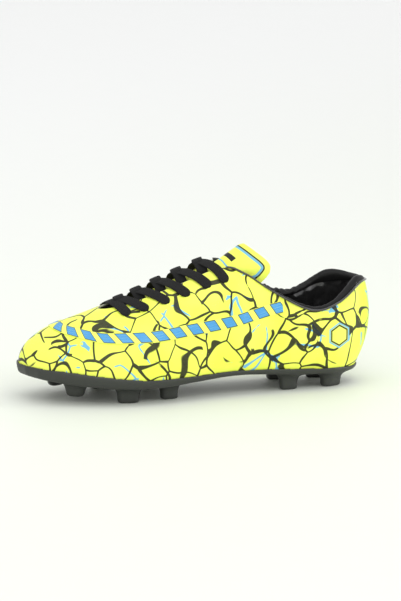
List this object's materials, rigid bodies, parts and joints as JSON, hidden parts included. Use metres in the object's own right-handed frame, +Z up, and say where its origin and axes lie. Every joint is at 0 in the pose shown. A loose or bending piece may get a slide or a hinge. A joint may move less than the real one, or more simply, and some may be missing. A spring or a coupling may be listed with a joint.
{
  "type": "soccer cleat",
  "caption": "Low-cut left soccer cleat with a moulded studded outsole, flat criss-cross laces, a padded collar and a folding tongue.",
  "frame": {"origin": "centre of the shoe's footprint box, in the plane of the stud tips", "axes": "+X towards the heel, -Y towards the outer (lateral) side, +Z up"},
  "size_m": [0.289, 0.0972, 0.116],
  "materials": {
    "sole": "satin moulded TPU",
    "board": "matt fibreboard",
    "foam": "matt open foam",
    "cloth": "matt woven",
    "upper": "satin coated synthetic, printed",
    "band": "satin film with a fine raised texture",
    "lining": "glossy synthetic",
    "trim": "glossy piping",
    "stiffener": "matt thermoplastic",
    "lace": "flat woven",
    "tip": "gloss"
  },
  "bodies": {
    "shoe": {"outsole": "sole", "lasting_board": "board", "footbed_foam": "foam", "footbed_cloth": "cloth", "upper_shell": "upper", "side_band": "band", "vamp_lining": "cloth", "quarter_lining": "lining", "collar_foam": "foam", "collar_roll": "lining", "collar_binding": "trim", "heel_counter": "stiffener", "heel_seam_tape": "cloth", "toe_puff": "stiffener", "eyestay_backer_outer": "cloth", "eyestay_backer_inner": "cloth", "tongue_face": "upper", "tongue_foam": "foam", "tongue_lining": "lining", "lace": "lace", "aglet_outer": "tip", "aglet_inner": "tip"},
    "tongue_flap": {"tongue_flap_face": "upper", "tongue_flap_foam": "foam", "tongue_flap_lining": "lining"}
  },
  "joints": [
    {"name": "tongue_fold", "type": "hinge", "parent": "shoe", "child": "tongue_flap", "pos_m": [0.01735, 0, 0.0995], "axis": [0, -1, 0], "range_deg": [0, 60], "stiffness_Nm_per_rad": 0.05}
  ]
}
